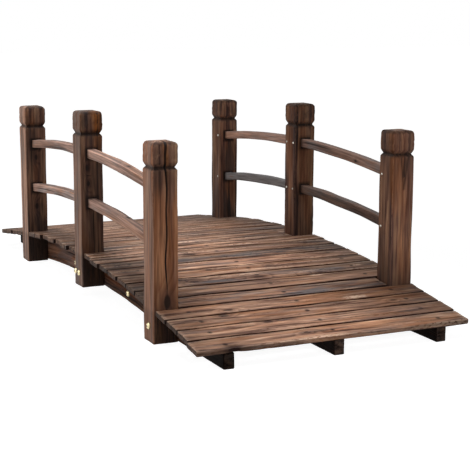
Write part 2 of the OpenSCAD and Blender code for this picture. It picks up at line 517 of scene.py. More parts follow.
@dataclass
class Timber:
    """One length of fir, drawn along u with its section in v and w."""

    length: float
    width: float
    depth: float
    arris: float
    seed: int
    shade: Tones
    pith: tuple[float, float]
    step: float = 14 * MM
    column: float = 5 * MM
    end_round: float = 1.5 * MM
    fine: float = 0.16 * MM
    coarse: float = 0.35 * MM
    chip: float = 0.8 * MM
    knots: list[Knot] = field(default_factory=list)
    nails: list[tuple[float, float]] = field(default_factory=list)
    waists: list[tuple[float, float]] = field(default_factory=list)
    checks: list[DryingCheck] = field(default_factory=list)
    dents: list[Dent] = field(default_factory=list)
    rough_end: tuple[float, float] = (0.0, 0.0)
    dome: float = 0.0
    end_tone: float = 1.0
    through_knots: bool = False
    side_shades: dict[int, Tones] = field(default_factory=dict)
    side_slots: dict[int, int] = field(default_factory=dict)
    # Gives bare wood as positive and char as negative shares at the skin's points: real wear, and on some
    # timbers painted shade and light.
    wear: WearAndShading | None = None
    # Changes tone, scorch and warmth at the skin's points: the flame's marks, and painted shade on the
    # deck's planks and painted light on a stringer.
    flame: ToneChange | None = None

    ARC_STEPS = 3
    BRUSH_WAVE = (170 * MM, 9 * MM)
    BOARD_WAVE = (260 * MM, 70 * MM)
    CHIP_WAVE = (55 * MM, 400 * MM)
    RAGGED_WAVE = (16 * MM, 22 * MM)
    NO_KNOT = 99.0
    NO_NAIL = 9.0

    def _side(self, span: float, check: DryingCheck | None) -> list[tuple[float, int]]:
        """Places the columns of one face, from one corner to the next.

        Args:
            span: Flat width of the face.
            check: Drying check on the face, or None.

        Returns:
            Places across the face as shares of half its width, each with its mark.
        """
        count = max(2, round(span / self.column))
        places = [(float(p), Mark.FACE) for p in np.linspace(-1, 1, count + 1)]
        if check is not None:
            share, clear = 2 * check.across / span, (check.width + 7 * MM) / span
            before = [p for p in places if p[0] < share - clear]
            after = [p for p in places if p[0] > share + clear]
            places = before + [(share, column[0]) for column in CHECK_COLUMNS] + after
        return places

    def _section(self, inset: float) -> tuple[Array, Array, Array, Array]:
        """Draws the section as a loop of points.

        Args:
            inset: How far the outline is drawn in.

        Returns:
            Points in v and w, their outward directions, their marks of a drying check or an arris,
            and the number of their side, with a fraction on the arris before the next side.
        """
        half_v, half_w = self.width / 2 - inset, self.depth / 2 - inset
        radius = max(self.arris - 0.6 * inset, 0.25 * self.arris)
        check = self.checks[0] if self.checks else None
        turns = ((1, 0), (0, 1), (-1, 0), (0, -1))
        points, normals, marks, sides = [], [], [], []
        for index, (nv, nw) in enumerate(turns):
            reach = (half_w if nv else half_v) - radius
            flat = half_v if nv else half_w
            span = (self.depth if nv else self.width) - 2 * self.arris
            for share, mark in self._side(span, check if index == 0 else None):
                place = share * reach
                points.append((nv * flat - nw * place, nw * flat + nv * place))
                normals.append((nv, nw))
                marks.append(mark)
                sides.append(float(index))
            corner_v = (half_v - radius) * (nv - nw)
            corner_w = (half_w - radius) * (nw + nv)
            for k in range(1, self.ARC_STEPS):
                angle = math.atan2(nw, nv) + math.pi / 2 * k / self.ARC_STEPS
                points.append((corner_v + radius * math.cos(angle), corner_w + radius * math.sin(angle)))
                normals.append((math.cos(angle), math.sin(angle)))
                marks.append(Mark.ARRIS)
                sides.append(index + k / self.ARC_STEPS)
        return np.array(points), np.array(normals), np.array(marks), np.array(sides)

    def _stations(self) -> list[tuple[float, float]]:
        """Places the sections along the timber.

        Returns:
            Places along it, each with how far the section is drawn in there.
        """
        half, soft = self.length / 2, self.end_round
        count = max(2, round((self.length - 2 * soft) / self.step))
        body = [(float(u), 0.0) for u in np.linspace(-half + soft, half - soft, count + 1)]
        if self.waists:
            low, high = self.waists[0][0], self.waists[-1][0]
            body = [s for s in body if not low - 2 * MM < s[0] < high + 2 * MM] + self.waists
            body.sort()
        ends = [(half - soft + soft * math.cos(a), soft - soft * math.sin(a))
                for a in (math.pi / 3, math.pi / 6, 0.0)]
        if self.waists and self.waists[-1][0] > half - 2 * soft:
            return [(-u, d) for u, d in reversed(ends)] + body
        return [(-u, d) for u, d in reversed(ends)] + body + ends

    def _open_checks(self, local: Array, marks: Array, rng: np.random.Generator) -> None:
        """Opens the drying check: parts its lips and sinks its bed.

        Args:
            local: Points of all sections, changed in place.
            marks: Marks of the section's points.
            rng: Seeded source of the crack's wander.
        """
        u = local[:, 0, 0]
        wander = Ripple(rng, 150 * MM, 1.0, 1.1 * MM)
        for check in self.checks:
            inside = rise(np.minimum(u - check.start, check.end - u), 0, 70 * MM)
            taper = 0.55 + 0.45 * rise(u, check.start, self.length / 2 - check.start) ** 5
            hair = 0.3 * MM
            half = np.where(inside > 0, hair + inside * taper * (check.width / 2 - hair), hair / 2)
            path = wander(u, np.zeros_like(u))
            for mark, side, beside in CHECK_COLUMNS:
                column = np.flatnonzero(marks == mark)
                local[:, column, 2] += (path + side * (half + beside * 0.9 * MM))[:, None]
            bed = np.flatnonzero(marks == Mark.BED)
            local[:, bed, 1] -= (inside * check.depth)[:, None]

    def _lift(self, rng: np.random.Generator, local: Array, marks: Array, outline: Array) -> Array:
        """Draws how far each point of the skin stands proud of its smooth place.

        Args:
            rng: Seeded source of the unevenness.
            local: Points of all sections.
            marks: Marks of the section's points.
            outline: Section at the middle of the timber.

        Returns:
            Heights of brush marks and waves, less chips and dents.
        """
        girth = np.concatenate(([0], np.cumsum(np.hypot(*np.diff(outline, axis=0).T))))
        along, around = np.meshgrid(local[:, 0, 0], girth, indexing="ij")
        lift = Ripple(rng, *self.BRUSH_WAVE, self.fine)(along, around)
        lift += Ripple(rng, *self.BOARD_WAVE, self.coarse)(along, around)
        bruise = np.clip(Ripple(rng, *self.CHIP_WAVE, 1.0)(along, around) - 1.1, 0, 1.5)
        lift -= np.where(marks == Mark.ARRIS, bruise * self.chip, 0.0)
        ragged = Ripple(rng, *self.RAGGED_WAVE, self.rough_end[1])(along, around)
        lift += np.where(along > self.length / 2 - self.rough_end[0], ragged, 0.0)
        for dent in self.dents:
            away = ((local - np.array(dent.at)) ** 2).sum(axis=2) / dent.radius ** 2
            lift -= dent.depth * np.exp(-away)
        return lift

    def _close(self, points: Array, ring: int, faces: list[tuple[int, ...]], slots: list[int]) -> Array:
        """Closes both ends with a rim and a fan of faces.

        Args:
            points: Points of the skin.
            ring: Number of points of a section.
            faces: Faces of the skin, to which those of the ends are added.
            slots: Material slots of the faces, to which those of the ends are added.

        Returns:
            The points with those of the ends.
        """
        for start, turn in ((0, -1), (len(points) - ring, 1)):
            rim = points[start:start + ring]
            middle = rim.mean(axis=0)
            inner = middle + (rim - middle) * 0.93
            if turn > 0:
                inner[:, 0] += 0.15 * self.dome
                middle[0] += self.dome
            first = len(points)
            points = np.concatenate((points, inner, middle[None]))
            for j in range(ring):
                k = (j + 1) % ring
                quad = (start + j, start + k, first + k, first + j)
                fan = (first + j, first + k, first + ring)
                faces += [quad[::turn], fan[::turn]]
                slots += [Slot.ENDS, Slot.ENDS]
        return points

    def build(self, place: Place) -> MeshData:
        """Builds the timber's mesh and puts it in place.

        Args:
            place: Turns points of the timber's frame into points of the bridge's frame.

        Returns:
            The mesh, with its attributes.
        """
        rng = np.random.default_rng(self.seed)
        stations = self._stations()
        sections = [self._section(inset) for _, inset in stations]
        normals, marks, sides = sections[0][1:]
        count, ring = len(stations), len(marks)
        local = np.zeros((count, ring, 3))
        for row, (along, _), section in zip(local, stations, sections):
            row[:, 0] = along
            row[:, 1:] = section[0]
        lift = self._lift(rng, local, marks, sections[count // 2][0])
        local[:, :, 1:] += lift[:, :, None] * normals
        self._open_checks(local, marks, rng)

        edges = [(i * ring + j, i * ring + (j + 1) % ring) for i in range(count - 1) for j in range(ring)]
        faces = [(a, b, b + ring, a + ring) for a, b in edges]
        slots = [self.side_slots.get(int(side + 0.5) % 4, Slot.SIDES) for side in sides] * (count - 1)
        points = self._close(local.reshape(-1, 3), ring, faces, slots)

        offset = np.array((rng.uniform(0, 40), -self.pith[0], -self.pith[1]))
        skin = count * ring
        sides = np.tile(sides, count)
        board = np.tile(self.shade, (len(points), 1))
        for side, shade in self.side_shades.items():
            board[:skin][np.rint(sides) % 4 == side] = shade
        board[skin:, 0] *= self.end_tone
        if self.flame:
            self.flame(points[:skin], sides, board[:skin])
        worn = np.zeros(len(points))
        if self.wear:
            worn[:skin] = self.wear(points[:skin], sides)
        if self.checks:
            # The check's bed and lips get painted shade; the columns beside it are a little lighter.
            lips = np.isin(marks, (Mark.LIP, Mark.OTHER_LIP))
            darkened = np.select((marks == Mark.BED, lips, marks > Mark.ARRIS), (1.0, 0.9, -0.1), 0.0)
            worn[:skin] -= np.tile(darkened, count)
        through = (1, 1, 0)
        knots = [(points - np.array(knot.at)) / knot.radius * (through if self.through_knots else 1)
                 for knot in self.knots]
        nails = [np.where(points[:, 2:] > 0, (points - (along, across, 0)) * through, self.NO_NAIL)
                 for along, across in self.nails]
        return MeshData(points=place(points), faces=faces, slots=slots, grain=points + offset, board=board,
                        knot=nearest(knots, np.full(points.shape, self.NO_KNOT)),
                        nail=nearest(nails, np.full(points.shape, self.NO_NAIL)), worn=worn)


def random_knots(rng: np.random.Generator, timber: Timber, count: int, radius: float) -> list[Knot]:
    """Scatters knots over a timber's faces.

    Args:
        rng: Seeded source of the places.
        timber: Timber that takes the knots.
        count: How many there are.
        radius: Mean radius of a knot.

    Returns:
        The knots.
    """
    knots = []
    for _ in range(count):
        along = rng.uniform(-0.46, 0.46) * timber.length
        across = rng.uniform(-0.4, 0.4)
        face = rng.integers(0, 4)
        if timber.through_knots or face % 2:
            spot = (along, across * timber.width, (1 if face < 2 else -1) * timber.depth / 2)
        else:
            spot = (along, (1 if face < 2 else -1) * timber.width / 2, across * timber.depth)
        knots.append(Knot(spot, radius * rng.uniform(0.6, 1.3)))
    return knots


def straight(origin: Iterable[float], along: Iterable[float], across: Iterable[float]) -> Place:
    """Makes the place of a straight timber.

    Args:
        origin: Middle of the timber.
        along: Direction of u.
        across: Direction of v.

    Returns:
        Function that puts the timber's points in place.
    """
    middle, axis_u, axis_v = (np.array(tuple(a), float) for a in (origin, along, across))
    turn = np.stack((axis_u, axis_v, np.cross(axis_u, axis_v)))

    def place(points: Array) -> Array:
        """Puts points of the timber's frame in place."""
        return middle + points @ turn
    return place


def make_mesh(name: str, parts: list[MeshData], materials: Iterable[Finish]) -> bpy.types.Mesh:
    """Joins mesh data into one mesh with its attributes.

    Args:
        name: Name of the mesh.
        parts: Mesh data of its timbers.
        materials: Materials of the sides, of the sawn ends and of sides that differ.

    Returns:
        The mesh.
    """
    vertices, polygons, slots, start = [], [], [], 0
    for part in parts:
        vertices.append(part.points)
        polygons += [tuple(start + i for i in face) for face in part.faces]
        slots += part.slots
        start += len(part.points)
    mesh = bpy.data.meshes.new(name)
    mesh.from_pydata(np.concatenate(vertices).tolist(), [], polygons)
    for material in materials:
        mesh.materials.append(material)
    sawn = [slot == Slot.ENDS for slot in slots]
    mesh.polygons.foreach_set("material_index", [int(slot) for slot in slots])
    mesh.polygons.foreach_set("use_smooth", [not face for face in sawn])
    for label in ("grain", "board", "knot", "nail"):
        values = np.concatenate([getattr(part, label) for part in parts])
        layer = mesh.attributes.new(label, "FLOAT_VECTOR", "POINT")
        layer.data.foreach_set("vector", values.astype(np.float32).ravel())
    layer = mesh.attributes.new("worn", "FLOAT", "POINT")
    layer.data.foreach_set("value", np.concatenate([part.worn for part in parts]).astype(np.float32))
    layer = mesh.attributes.new("sawn", "BOOLEAN", "FACE")
    layer.data.foreach_set("value", sawn)
    mesh.update()
    return mesh


def link(name: str, data: Any) -> bpy.types.Object:
    """Puts data into the scene.

    Args:
        name: Name of the object.
        data: Mesh, lamp or camera.

    Returns:
        The object.
    """
    thing = bpy.data.objects.new(name, data)
    bpy.context.scene.collection.objects.link(thing)
    return thing


class NodeShape:
    """A geometry tree with named inputs, the first of which takes a mesh."""

    def __init__(self, name: str, inputs: dict[str, str]) -> None:
        """Starts the tree.

        Args:
            name: Name of the tree.
            inputs: Label of each input, with Blender's name for its kind.
        """
        self.tree = bpy.data.node_groups.new(name, "GeometryNodeTree")
        self.names: dict[str, str] = {}
        for label, kind in inputs.items():
            socket = self.tree.interface.new_socket(label, in_out="INPUT", socket_type=f"NodeSocket{kind}")
            self.names[label] = socket.identifier
        self.tree.interface.new_socket("Mesh", in_out="OUTPUT", socket_type="NodeSocketGeometry")
        self.given = add_node(self.tree, "NodeGroupInput").node.outputs

    def close(self, shape: Any, finishes: dict[str, Any]) -> None:
        """Ends the tree in real meshes and their finishes.

        Args:
            shape: Socket with the finished geometry.
            finishes: Label of each input that holds a finish, with the choice of faces that take it.
        """
        shape = add_node(self.tree, "GeometryNodeRealizeInstances", (shape,))
        for label, chosen in finishes.items():
            inputs = {"Geometry": shape, "Selection": chosen, "Material": self.given[label]}
            shape = add_node(self.tree, "GeometryNodeSetMaterial", inputs)
        add_node(self.tree, "NodeGroupOutput", (shape,))

    def run(self, name: str, mesh: bpy.types.Mesh, values: dict[str, Any]) -> bpy.types.Object:
        """Runs the tree.

        Args:
            name: Name of the piece.
            mesh: Mesh that the tree takes.
            values: Values of its other inputs.

        Returns:
            The piece, as a plain mesh.
        """
        holder = link(f"{name}_raw", mesh)
        modifier = holder.modifiers.new(name, "NODES")
        modifier.node_group = self.tree
        for label, value in values.items():
            modifier[self.names[label]] = value
        graph = bpy.context.evaluated_depsgraph_get()
        plain = bpy.data.meshes.new_from_object(holder.evaluated_get(graph), preserve_all_data_layers=True,
                                                depsgraph=graph)
        plain.name = name
        if plain.materials[0] is None:
            plain.materials.pop(index=0)
        bpy.data.objects.remove(holder)
        return link(name, plain)


def hand_over(piece: bpy.types.Object, slot: str, *nodes: str) -> None:
    """Gives a finished piece to the bridge's body.

    Args:
        piece: Finished piece.
        slot: Material slot of the record for its finish; not used.
        nodes: Solids that it stands for.
    """
    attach(piece, "root")
    if nodes:
        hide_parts(*nodes)
    log.info("%s: %d faces", piece.name, len(piece.data.polygons))


def deliver(node: str, slot: str, parts: list[MeshData], finishes: Iterable[Finish]) -> None:
    """Makes the piece of fir that stands for a solid, and hands it over."""
    mesh = make_mesh(f"fir_{node}", parts, finishes)
    hand_over(link(mesh.name, mesh), slot, node)


@dataclass(frozen=True)
class Arch:
    """The line of the deck: an arc between the end posts, and straight ramps that leave it there."""

    radius: float = 3800 * MM
    bowed: float = 519.375 * MM
    soffit_radius: float = 4700 * MM
    middle_plank: str = "deck_plank_13"

    @property
    def plank_size(self) -> Vector:
        """Length, width and thickness along X, Y and Z of the middle plank."""
        low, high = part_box(self.middle_plank)
        return Vector(high) - Vector(low)

    @property
    def crown(self) -> float:
        """Height of the deck at the crown."""
        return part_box(self.middle_plank)[1][2]

    @property
    def centre(self) -> float:
        """Height of the arc's centre, far under the ground."""
        return self.crown - self.radius

    @property
    def soffit(self) -> float:
        """Height of the stringers' underside at the crown, where the middle posts end."""
        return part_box("left_middle_post")[0][2]

    @property
    def ramp_angle(self) -> float:
        """Slope of the ramps, in radians."""
        return self.bowed / self.radius

    def slope(self, x: float) -> float:
        """Gives the slope in radians of the plank whose middle is at x, positive on the near side."""
        angle = math.asin(x / (self.radius - self.plank_size.z / 2))
        return max(-self.ramp_angle, min(self.ramp_angle, angle))

    def underside(self, x: Array) -> Array:
        """Gives the height of the planks' underside.

        Args:
            x: Places along the bridge.

        Returns:
            Heights on the arc, or on the ramps outside it.
        """
        radius, angle = self.radius - self.plank_size.z, self.ramp_angle
        arc = np.sqrt(radius ** 2 - x ** 2)
        ramp = (radius - np.abs(x) * math.sin(angle)) / math.cos(angle)
        return self.centre + np.where(np.abs(x) < radius * math.sin(angle), arc, ramp)

    def under_stringers(self, x: Array) -> Array:
        """Gives the heights of the stringers' underside at x, or 0 where they rest on the ground."""
        arc = self.soffit - self.soffit_radius + np.sqrt(self.soffit_radius ** 2 - x ** 2)
        return np.maximum(arc, 0)


def box_of(node: str) -> tuple[Vector, Vector]:
    """Gives the lowest and highest corners of a solid as vectors."""
    low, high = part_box(node)
    return Vector(low), Vector(high)


@dataclass
class Deck:
    """The planks, laid along the arch and nailed to three stringers.

    Planks are numbered from the far end. Scuffs and smoked patches give places along and across a
    plank and two reaches, in millimetres, and a patch also how grey it is.
    """

    arch: Arch
    count: int = 25
    crown_plank: int = 13
    near_ramp: int = 19
    arris: float = 2.2 * MM
    slack: float = 1.0 * MM
    end_slack: float = 6.0 * MM
    turn_slack: float = 0.0012
    shrinkage: tuple[float, float] = (1.8 * MM, 5.2 * MM)
    lift: float = 0.5 * MM
    nail_slack: float = 5 * MM
    knots: float = 1.3
    knot_radius: float = 6 * MM
    burn: tuple[float, float] = (245 * MM, 25 * MM)
    rub: tuple[float, float] = (66 * MM, 95 * MM)
    # Along the front edges: bare wood and a painted highlight. Painted shade in the gaps, towards both ends
    # of each plank and on one side of some planks.
    edge_bare: float = 0.35
    tip_bare: float = 0.6
    scuff_bare: float = 1.6
    burn_soot: float = 1.6
    gap_soot: float = 0.65
    toasted: float = 0.5
    plain_level: float = 0.85
    end_tones: tuple[float, float] = (1.2, 0.5)
    figure: tuple[float, float] = (0.32, 0.08)
    lean: dict[int, float] = field(default_factory=lambda: {
        25: 0.4, 22: -0.45, 20: 0.75, 19: 0.65, 18: 0.55, 17: 0.5, 16: 0.3, 12: 0.35})
    shades: tuple[Shade, ...] = (Shade.ROSY, Shade.TAN, Shade.SMOKY, Shade.ROSY, Shade.TAN)
    seen: dict[int, tuple[Shade, float]] = field(default_factory=lambda: {
        25: (Shade.ROSY, 1.12), 24: (Shade.ROSY, 1.02), 23: (Shade.ROSY, 0.88), 22: (Shade.TAN, 0.93),
        21: (Shade.SMOKY, 0.9), 20: (Shade.TAN, 0.86), 19: (Shade.SMOKY, 0.95), 18: (Shade.TAN, 0.98),
        17: (Shade.SMOKY, 1.48), 16: (Shade.SMOKY, 0.74), 15: (Shade.SMOKY, 0.99), 14: (Shade.TAN, 1.04),
        13: (Shade.SMOKY, 1.08)})
    scuffs: dict[int, tuple[float, ...]] = field(default_factory=lambda: {
        22: (-148, 16, 26, 7), 20: (-134, -24, 13, 5), 19: (-272, -7, 12, 5), 13: (-178, 10, 14, 5),
        12: (-270, 22, 12, 6)})
    smoked: dict[int, tuple[tuple[float, ...], ...]] = field(default_factory=lambda: {
        16: ((-180, 2, 190, 14, 0.6), (60, 4, 110, 12, 0.45)), 18: ((-282, -14, 24, 9, 0.6),),
        19: ((-185, 2, 62, 12, 0.5), (126, 12, 46, 9, 0.6)), 20: ((180, -8, 28, 10, 0.6),),
        21: ((-64, 12, 62, 13, 0.7),), 22: ((-68, 0, 30, 8, 0.6),)})
    nails: Spots = field(default_factory=list)

    def _shade(self, index: int, rng: np.random.Generator) -> Tones:
        """Draws a plank's shade near one of the named ones.

        Args:
            index: Number of the plank.
            rng: Seeded source.

        Returns:
            Tone, scorch and warmth.
        """
        drawn = self.shades[rng.integers(0, len(self.shades))]
        shade, level = self.seen.get(index, (drawn, self.plain_level))
        tone, scorch, warmth = shade.value
        return (tone * level * rng.uniform(0.96, 1.04), scorch * rng.uniform(0.7, 1.3),
                warmth * rng.uniform(0.6, 1.4))

    def _wear(self, index: int, length: float, half: float, points: Array, sides: Array) -> Array:
        """Gives a plank's bare wood and painted highlight on its edges, bare scuffs, and painted shade in
        the gaps.

        Args:
            index: Number of the plank.
            length: Length of the plank.
            half: Half the plank's width.
            points: Points of the timber's frame.
            sides: Sides that the points are on.

        Returns:
            Bare wood and painted highlight as positive shares, painted shade and char as negative ones.
        """
        edge_rng = np.random.default_rng(Seed.PLANK_EDGE + index)
        figure_rng = np.random.default_rng(Seed.PLANK_FIGURE + index)
        patchy = Ripple(edge_rng, 160 * MM, 1.0, 0.35)
        figure = Ripple(figure_rng, 420 * MM, 30 * MM, self.figure[index > self.near_ramp])
        u, v = points[:, 0], points[:, 1]
        edge = half - v
        share = np.clip(0.5 + patchy(u, 0 * u), 0, 1)
        # The top along the front edge: bare wood and a painted highlight on the arris.
        top = self.edge_bare * share * fade(edge, 5 * MM) + figure(u, v)
        top += self.tip_bare * fade(length / 2 - np.abs(u), 3 * MM)
        if index in self.scuffs:
            at_u, at_v, long, wide = np.array(self.scuffs[index]) * MM
            top += self.scuff_bare * fade(u - at_u, long, 4) * fade(v - at_v, wide, 2)
        # The front face and its arris look into the gap: painted shade.
        front = np.where(sides < 0.5, -1.0, 0.4 * share - 0.4)
        if index == self.count:
            rubbed = fade(u - self.rub[0], self.rub[1], 4)
            darkened = fade(u - self.burn[0], self.burn[1], 2)
            corner = rise(-u, 150 * MM, 100 * MM)
            front = np.where(sides > 0, 0.2 + 0.5 * rubbed, 0.15) + 0.35 * corner - 1.3 * darkened
            top += 0.7 * fade(length / 2 + u, 7 * MM) + 0.6 * rubbed * fade(edge, 7 * MM)
            top -= self.burn_soot * darkened * fade(edge, 15 * MM)
        # The back face and the underside get painted shade in the gaps.
        return np.select((sides < Side.PLUS_W, sides == Side.PLUS_W), (front, top), -self.gap_soot)

    def _flame(self, index: int, half: float, points: Array, sides: Array, board: Array) -> None:
        """Lays painted shade on a plank's ends and, on some planks, on one side, and grey patches where the
        flame stayed longer.

        Args:
            index: Number of the plank.
            half: Half the plank's length.
            points: Points of the timber's frame.
            sides: Sides that the points are on; not used.
            board: Tone, scorch and warmth at the points, changed in place.
        """
        # Both ends get painted shade, where the light falls off towards the sides of the deck, and some
        # planks get painted shade on one side.
        depth = self.toasted * (0.6 if index == self.count else 1.0)
        lean = self.lean.get(index, 0.0)
        share = points[:, 0] / half
        leant = np.clip(math.copysign(1, lean) * share, 0, 0.45)
        board[:, 0] *= 1 - depth * share ** 2 - abs(lean) * leant
        u, v = points[:, 0] / MM, points[:, 1] / MM
        for at_u, at_v, long, wide, grey in self.smoked.get(index, ()):
            board[:, 1] += grey * fade(u - at_u, long, 4) * fade(v - at_v, wide, 4)

    def build(self, sides: Finish, ends: Finish) -> None:
        """Builds and hands over every plank, and notes where its nails are.

        Args:
            sides: Finish of the faces.
            ends: Finish of the sawn ends.
        """
        size = self.arch.plank_size
        stringers = [sum(corner.y for corner in box_of(f"{line}_stringer")) / 2
                     for line in ("left", "middle", "right")]
        for index in range(1, self.count + 1):
            node = f"deck_plank_{index:02d}"
            rng = np.random.default_rng(Seed.PLANK_LOOK + index)
            low, high = box_of(node)
            middle = (low + high) / 2
            angle = self.arch.slope(middle.x)
            up = Vector((math.sin(angle), 0, math.cos(angle)))
            across = Vector((math.cos(angle), 0, -math.sin(angle)))
            across.rotate(Matrix.Rotation(rng.normal(0, self.turn_slack), 3, "Z"))
            middle += across * rng.uniform(-self.slack, self.slack) + up * rng.uniform(0.1, 1) * self.lift
            middle.y += rng.uniform(-0.5, 0.5) * self.end_slack
            plank = Timber(
                length=high.y - low.y - rng.uniform(0, self.end_slack),
                width=size.x - rng.uniform(*self.shrinkage), depth=size.z, arris=self.arris,
                seed=Seed.PLANK + index, shade=self._shade(index, rng),
                pith=(rng.uniform(-30, 30) * MM, rng.choice((-1, 1)) * rng.uniform(25, 90) * MM),
                column=3.6 * MM, step=9 * MM, through_knots=True,
                end_tone=self.end_tones[index >= self.crown_plank])
            plank.wear = partial(self._wear, index, plank.length, plank.width / 2)
            plank.flame = partial(self._flame, index, plank.length / 2)
            if index == self.count:
                plank.dents = [Dent((self.burn[0], plank.width / 2, size.z / 2), 16 * MM, 4 * MM)]
            plank.nails = [(middle.y - y + rng.uniform(-1, 1) * self.nail_slack,
                            rng.uniform(-1, 1) * self.nail_slack) for y in stringers]
            plank.knots = random_knots(rng, plank, rng.poisson(self.knots), self.knot_radius)
            along = Vector((0, -1, 0))
            along = (along - across * along.dot(across)).normalized()
            place = straight(middle, along, across)
            deliver(node, "deck_fir", [plank.build(place)], (sides, ends))
            heads = place(np.array([(u, v, size.z / 2) for u, v in plank.nails]))
            self.nails += [(Vector(head), up) for head in heads]


@dataclass(frozen=True)
class PostLook:
    """How one post came out of the flame.

    The shades are those of most faces and of the left one; on the right posts the left one is lowered in
    part for painted shade. Darkening is the painted shade just over the deck. The caps' tones are relative.
    Knots and lines of dark figure are on the front, as heights over the foot, places across and a radius or
    a second end, in millimetres. Bare is a scratch on the left face.
    """

    shade: Tones
    left: Tones
    soot: float
    cap: float
    left_cap: float = 1.0
    cap_warmth: float = 0.0
    knots: tuple[tuple[float, float, float], ...] = ()
    lines: tuple[tuple[float, float, float, float], ...] = ()
    bare: tuple[float, float, float] | None = None


@dataclass
class Posts:
    """Six square posts with a groove under the cap."""

    arch: Arch
    arris: float = 3.2 * MM
    cap_round: float = 9 * MM
    cap_steps: int = 5
    cap_dents: int = 7
    dome: float = 1.5 * MM
    groove_drop: float = 55 * MM
    groove_rise: float = 10 * MM
    groove_fall: float = 6.5 * MM
    groove_depth: float = 5.5 * MM
    rail_heights: tuple[float, float] = (251 * MM, 127 * MM)
    crack_foot: float = 104 * MM
    arris_bare: float = 0.12
    scratch_bare: float = 1.1
    # Painted shade under the deck, in the groove and round the mortises. The cap's rim, the foot and lines
    # of figure are darker too.
    under_soot: tuple[float, float] = (0.75, 0.35)
    groove_soot: float = 0.8
    rim_soot: float = 0.6
    mortise_soot: float = 0.95
    foot_soot: float = 0.7
    line_soot: float = 0.8
    looks: dict[str, PostLook] = field(default_factory=lambda: {
        "left_near_post": PostLook((1.45, 0.3, 0.38), (1.1, 0.15, 0.7), 0.5, 0.58, cap_warmth=0.5,
                                   knots=((93, 3, 9.5),)),
        "left_middle_post": PostLook((0.54, 0.5, 0.6), (1.0, 0.6, 0.1), 0.3, 1.2, 0.7, 0.4,
                                     knots=((304, -12, 4.5), (264, -9, 4))),
        "left_far_post": PostLook((0.65, 0.6, 0.2), (1.65, 0.5, 0.15), 0.4, 1.15, cap_warmth=0.3,
                                  knots=((300, 0, 4.5), (160, -1, 5))),
        # The right posts' left faces are darker in part by painted shade.
        "right_near_post": PostLook((1.8, 0.35, 0.3), (0.76, 0.35, 0.55), 0.55, 0.92, cap_warmth=-0.15,
                                    bare=(228, 285, 12),
                                    lines=((308, 2, 386, -7), (308, 2, 386, 12), (335, 2, 386, 3))),
        "right_middle_post": PostLook((0.85, 0.6, 0.3), (0.78, 0.35, 0.3), 0.45, 1.05, 0.8),
        "right_far_post": PostLook((1.18, 0.7, 0.25), (0.64, 0.4, 0.2), 0.3, 1.25, cap_warmth=0.2)})
    cracked: str = "left_near_post"

    def _waists(self, height: float) -> list[tuple[float, float]]:
        """Draws the groove and the rounded top as sections drawn in.

        Args:
            height: Height of the post.

        Returns:
            Places along the post from its middle, each with how far the section is drawn in.
        """
        groove, top = height / 2 - self.groove_drop, height / 2
        deep, lip = self.groove_depth, 2.0 * MM
        waists = [(groove, deep)]
        for way, reach in ((-1, self.groove_fall), (1, self.groove_rise)):
            slope = deep / reach
            flank = [(reach + lip, 0.0), (reach + lip / 3, 0.1 * lip * slope),
                     (reach - lip / 2, 0.5 * lip * slope), (reach / 2, deep / 2),
                     (1.0 * MM, deep - 0.7 * MM * slope)]
            waists += [(groove + way * u, d) for u, d in flank]
        waists += [(groove + self.groove_rise + u * MM, 0.0) for u in (6, 12, 18, 24)]
        waists.sort()
        for k in range(self.cap_steps + 1):
            angle = math.pi / 2 * k / self.cap_steps
            drawn_in = self.cap_round * (1 - math.cos(angle))
            waists.append((top - self.cap_round * (1 - math.sin(angle)), drawn_in))
        return waists

    def _wear(self, size: Vector, level: float, mortises: list[tuple[int, float]], look: PostLook,
              shaded_over_deck: tuple[int, ...], points: Array, sides: Array) -> Array:
        """Gives a post's rubbed arrises, and painted shade in the groove, round the mortises and under the
        deck.

        Args:
            size: Sizes of the post.
            level: Height of the deck's top over the middle of the post.
            mortises: Side and height over the middle of the post of each rail that enters it.
            look: How the post came out.
            shaded_over_deck: Sides that get painted shade just over the deck.
            points: Points of the timber's frame.
            sides: Sides that the points are on.

        Returns:
            Bare wood as positive shares, painted shade and dark wood as negative ones.
        """
        groove, top = size.z / 2 - self.groove_drop, size.z / 2
        height, v, w = points.T
        over = height + top
        rubbed = np.where(sides % 1 > 0, self.arris_bare, 0.0)
        # Painted shade under the deck, in the groove and just over the deck, and below round the mortises; a
        # darker rim on the cap, darker wood at the foot and lines of dark figure.
        darkenings = [
            rise(height, level, -9 * MM) * np.where(sides < 2.5, *self.under_soot),
            rise(np.abs(height - groove + 1 * MM), 8.4 * MM, -6 * MM) * self.groove_soot,
            rise(height, level + 110 * MM, -110 * MM) * look.soot * np.isin(np.rint(sides) % 4, shaded_over_deck),
            rise(height, top - 9 * MM, 5 * MM) * self.rim_soot,
            rise(over, 18 * MM, -18 * MM) * self.foot_soot]
        for side, middle in mortises:
            away = np.maximum(np.abs(height - middle), np.abs(w))
            darkenings.append(rise(away, 19.1 * MM, -4.5 * MM) * self.mortise_soot * (sides == side))
        for start, across, end, other in (np.array(line) * MM for line in look.lines):
            share = (over - start) / (end - start)
            away = w - across - (other - across) * share
            drawn = (sides == Side.PLUS_V) * (share > -0.05) * (share < 1.05)
            darkenings.append(self.line_soot * fade(away, 2.6 * MM, 2) * drawn)
        if look.bare:
            low, high, across = np.array(look.bare) * MM
            inside = rise(np.minimum(over - low, high - over), 0, 10 * MM) * (sides == Side.MINUS_W)
            rubbed += self.scratch_bare * inside * fade(v - across, 2.2 * MM, 2)
        return rubbed - np.max(darkenings, axis=0)

    def _flame(self, groove: float, look: PostLook, points: Array, sides: Array, board: Array) -> None:
        """Changes the shade of a post to its cap's towards the top.

        Args:
            groove: Height of the groove over the middle of the post.
            look: How the post came out.
            points: Points of the timber's frame.
            sides: Sides that the points are on.
            board: Tone, scorch and warmth at the points, changed in place.
        """
        share = rise(points[:, 0], groove - 80 * MM, 50 * MM)
        board[:, 0] *= 1 + (np.where(sides < 2.5, look.cap, look.left_cap) - 1) * share
        board[:, 2] += look.cap_warmth * rise(points[:, 0], groove, 8 * MM)

